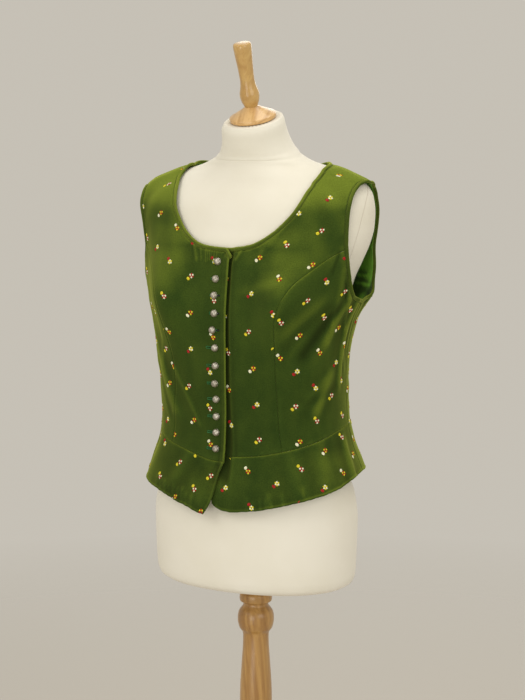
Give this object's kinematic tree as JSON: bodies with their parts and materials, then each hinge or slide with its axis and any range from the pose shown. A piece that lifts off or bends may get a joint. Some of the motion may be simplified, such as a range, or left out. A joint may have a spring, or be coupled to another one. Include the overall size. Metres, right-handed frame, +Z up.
{
  "type": "embroidered waistcoat on a dress form with a stand",
  "caption": "Fitted sleeveless velvet waistcoat with a round neck, front buttons and a flared skirt, worn by a limbless dress form on a turned pole and round base.",
  "frame": {"origin": "on the floor under the pole's axis, at the middle of the base's underside", "axes": "+Z up along the pole, -Y out of the form's chest, +X towards the wearer's left"},
  "size_m": [0.43, 0.43, 1.5907],
  "materials": {
    "velvet": "short green pile, dark face on and light at a glance",
    "velvet_edge": "bias strip of the same velvet, rolled",
    "lining_satin": "green satin",
    "form_jersey": "stretched cream jersey, matte",
    "beech": "turned beech, satin varnish",
    "button_metal": "domed, grey-brown silver metal with a soft shine"
  },
  "bodies": {
    "root": {"armhole_piping_left": "velvet_edge", "armhole_piping_right": "velvet_edge", "back_left": "velvet", "back_right": "velvet", "button_01": "button_metal", "button_02": "button_metal", "button_03": "button_metal", "button_04": "button_metal", "button_05": "button_metal", "button_06": "button_metal", "button_07": "button_metal", "button_08": "button_metal", "button_09": "button_metal", "button_10": "button_metal", "button_11": "button_metal", "button_12": "button_metal", "dress_form": "form_jersey", "front_left": "velvet", "front_right": "velvet", "lining_back": "lining_satin", "neck_finial": "beech", "neck_piping": "velvet_edge", "peplum_back_left": "velvet", "peplum_back_right": "velvet", "peplum_front_left": "velvet", "peplum_front_right": "velvet", "side_front_left": "velvet", "side_front_right": "velvet", "stand_base": "beech", "stand_pole": "beech"}
  },
  "joints": []
}
